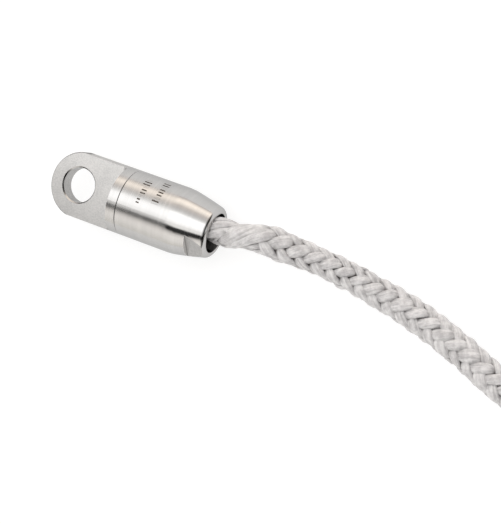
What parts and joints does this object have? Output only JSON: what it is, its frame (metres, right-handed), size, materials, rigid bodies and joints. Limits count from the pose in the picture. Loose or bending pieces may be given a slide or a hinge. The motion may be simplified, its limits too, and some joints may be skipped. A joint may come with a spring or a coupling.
{
  "type": "thimble eye",
  "caption": "Round eye end fitting for a spliced fibre rope, with a lug plate, an inner thimble on a pin and a screwed tapered sleeve.",
  "frame": {"origin": "centre of the hole in the eye, halfway through the lug plate", "axes": "+Z along the hole, square to the lug plate; +X along the fitting's axis from the eye towards the rope; the sleeve lies on the plane z = -0.008 m"},
  "size_m": [0.2271, 0.0429, 0.016],
  "materials": {
    "stainless_satin": "satin, finely machined",
    "stainless_pin": "turned",
    "stainless_polished": "polished",
    "rope": "braided HMPE fibre, off-white",
    "tie_twine": "waxed twine",
    "whipping_twine": "waxed twine"
  },
  "bodies": {
    "eye": {"eye_body": "stainless_satin", "thimble_pin": "stainless_pin", "rope_eye": "rope", "rope": "rope", "rope_hank": "rope", "hank_ties": "tie_twine", "rope_whipping": "whipping_twine"},
    "sleeve": {"sleeve": "stainless_polished"},
    "thimble": {"thimble": "stainless_pin"}
  },
  "joints": [
    {"name": "sleeve_travel", "type": "slide", "parent": "eye", "child": "sleeve", "axis": [1, 0, 0], "range_m": [0, 0.011]},
    {"name": "thimble_turn", "type": "hinge", "parent": "eye", "child": "thimble", "pos_m": [0.023, 0, 0], "axis": [0, 1, 0], "continuous": true}
  ]
}
